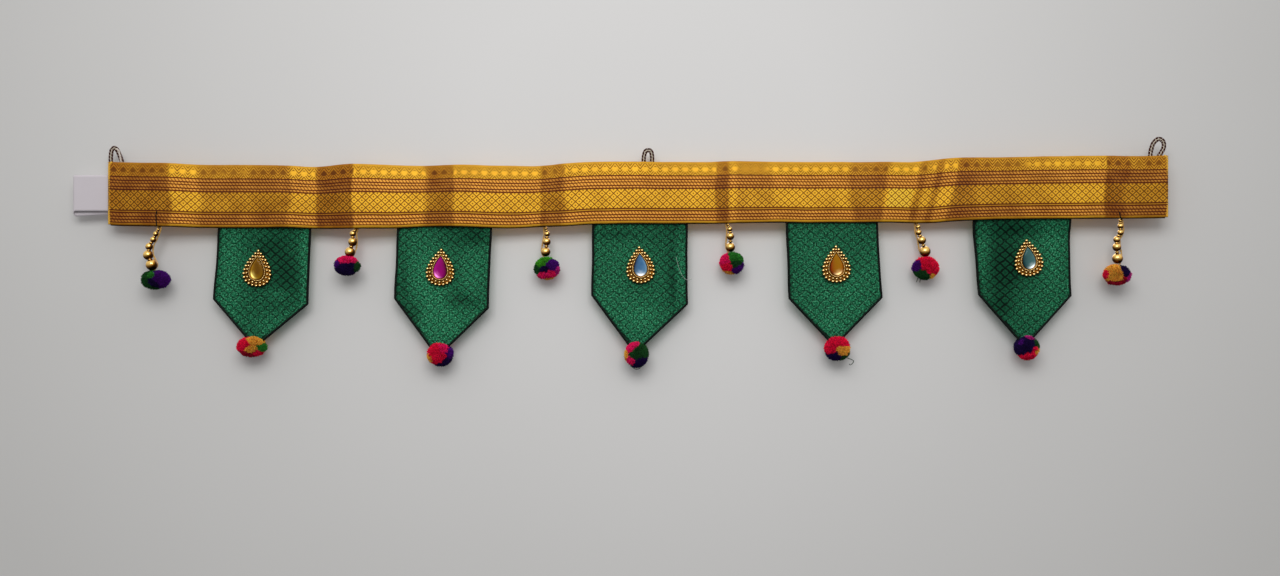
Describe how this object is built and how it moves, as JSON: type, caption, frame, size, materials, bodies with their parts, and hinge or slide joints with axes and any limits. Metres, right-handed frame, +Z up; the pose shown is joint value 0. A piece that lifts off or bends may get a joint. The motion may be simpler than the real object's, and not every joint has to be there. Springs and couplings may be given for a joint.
{
  "type": "toran door hanging",
  "caption": "Gold brocade door hanging with pointed green flags, jewelled drops, bead strings and wool pompoms, hung by cord loops along its top edge.",
  "frame": {"origin": "inside the crown of the middle hanging loop, where a nail or hook would hold it", "axes": "+X along the band to the viewer's right, +Y back towards the wall, +Z up"},
  "size_m": [0.9451, 0.0271, 0.1983],
  "materials": {
    "zari_band": "gold metallic brocade, woven, satiny with dark warp lines",
    "green_brocade": "deep green brocade with a soft silk sheen",
    "white_ribbon": "matt white woven ribbon, bare",
    "loop_cord": "twisted dark and gold cord",
    "gold_beads": "polished gold-coloured beads",
    "gold_setting": "polished gold-coloured cast trim",
    "stone_amber": "clear amber acrylic stone, glossy",
    "stone_magenta": "clear magenta acrylic stone, glossy",
    "stone_blue": "clear pale blue acrylic stone, glossy",
    "stone_grey": "clear grey-blue acrylic stone, glossy",
    "wool_flag_1": "clipped wool pile, rust, orange and red",
    "wool_flag_2": "clipped wool pile, hot pink-red",
    "wool_flag_3": "clipped wool pile, plum, magenta and green",
    "wool_flag_4": "clipped wool pile, red and orange",
    "wool_flag_5": "clipped wool pile, purple and red",
    "wool_string_1": "clipped wool pile, purple and green",
    "wool_string_2": "clipped wool pile, magenta and navy",
    "wool_string_3": "clipped wool pile, plum, green and magenta",
    "wool_string_4": "clipped wool pile, magenta, green and purple",
    "wool_string_5": "clipped wool pile, magenta, purple and green",
    "wool_string_6": "clipped wool pile, orange and magenta"
  },
  "bodies": {
    "root": {"band": "zari_band", "label": "white_ribbon", "loop_left": "loop_cord", "loop_middle": "loop_cord", "loop_right": "loop_cord", "flag_1": "green_brocade", "brooch_setting_1": "gold_setting", "brooch_stone_1": "stone_amber", "pompom_flag_1": "wool_flag_1", "flag_2": "green_brocade", "brooch_setting_2": "gold_setting", "brooch_stone_2": "stone_magenta", "pompom_flag_2": "wool_flag_2", "flag_3": "green_brocade", "brooch_setting_3": "gold_setting", "brooch_stone_3": "stone_blue", "pompom_flag_3": "wool_flag_3", "flag_4": "green_brocade", "brooch_setting_4": "gold_setting", "brooch_stone_4": "stone_amber", "pompom_flag_4": "wool_flag_4", "flag_5": "green_brocade", "brooch_setting_5": "gold_setting", "brooch_stone_5": "stone_grey", "pompom_flag_5": "wool_flag_5", "bead_string_1": "gold_beads", "pompom_string_1": "wool_string_1", "bead_string_2": "gold_beads", "pompom_string_2": "wool_string_2", "bead_string_3": "gold_beads", "pompom_string_3": "wool_string_3", "bead_string_4": "gold_beads", "pompom_string_4": "wool_string_4", "bead_string_5": "gold_beads", "pompom_string_5": "wool_string_5", "bead_string_6": "gold_beads", "pompom_string_6": "wool_string_6"}
  },
  "joints": []
}
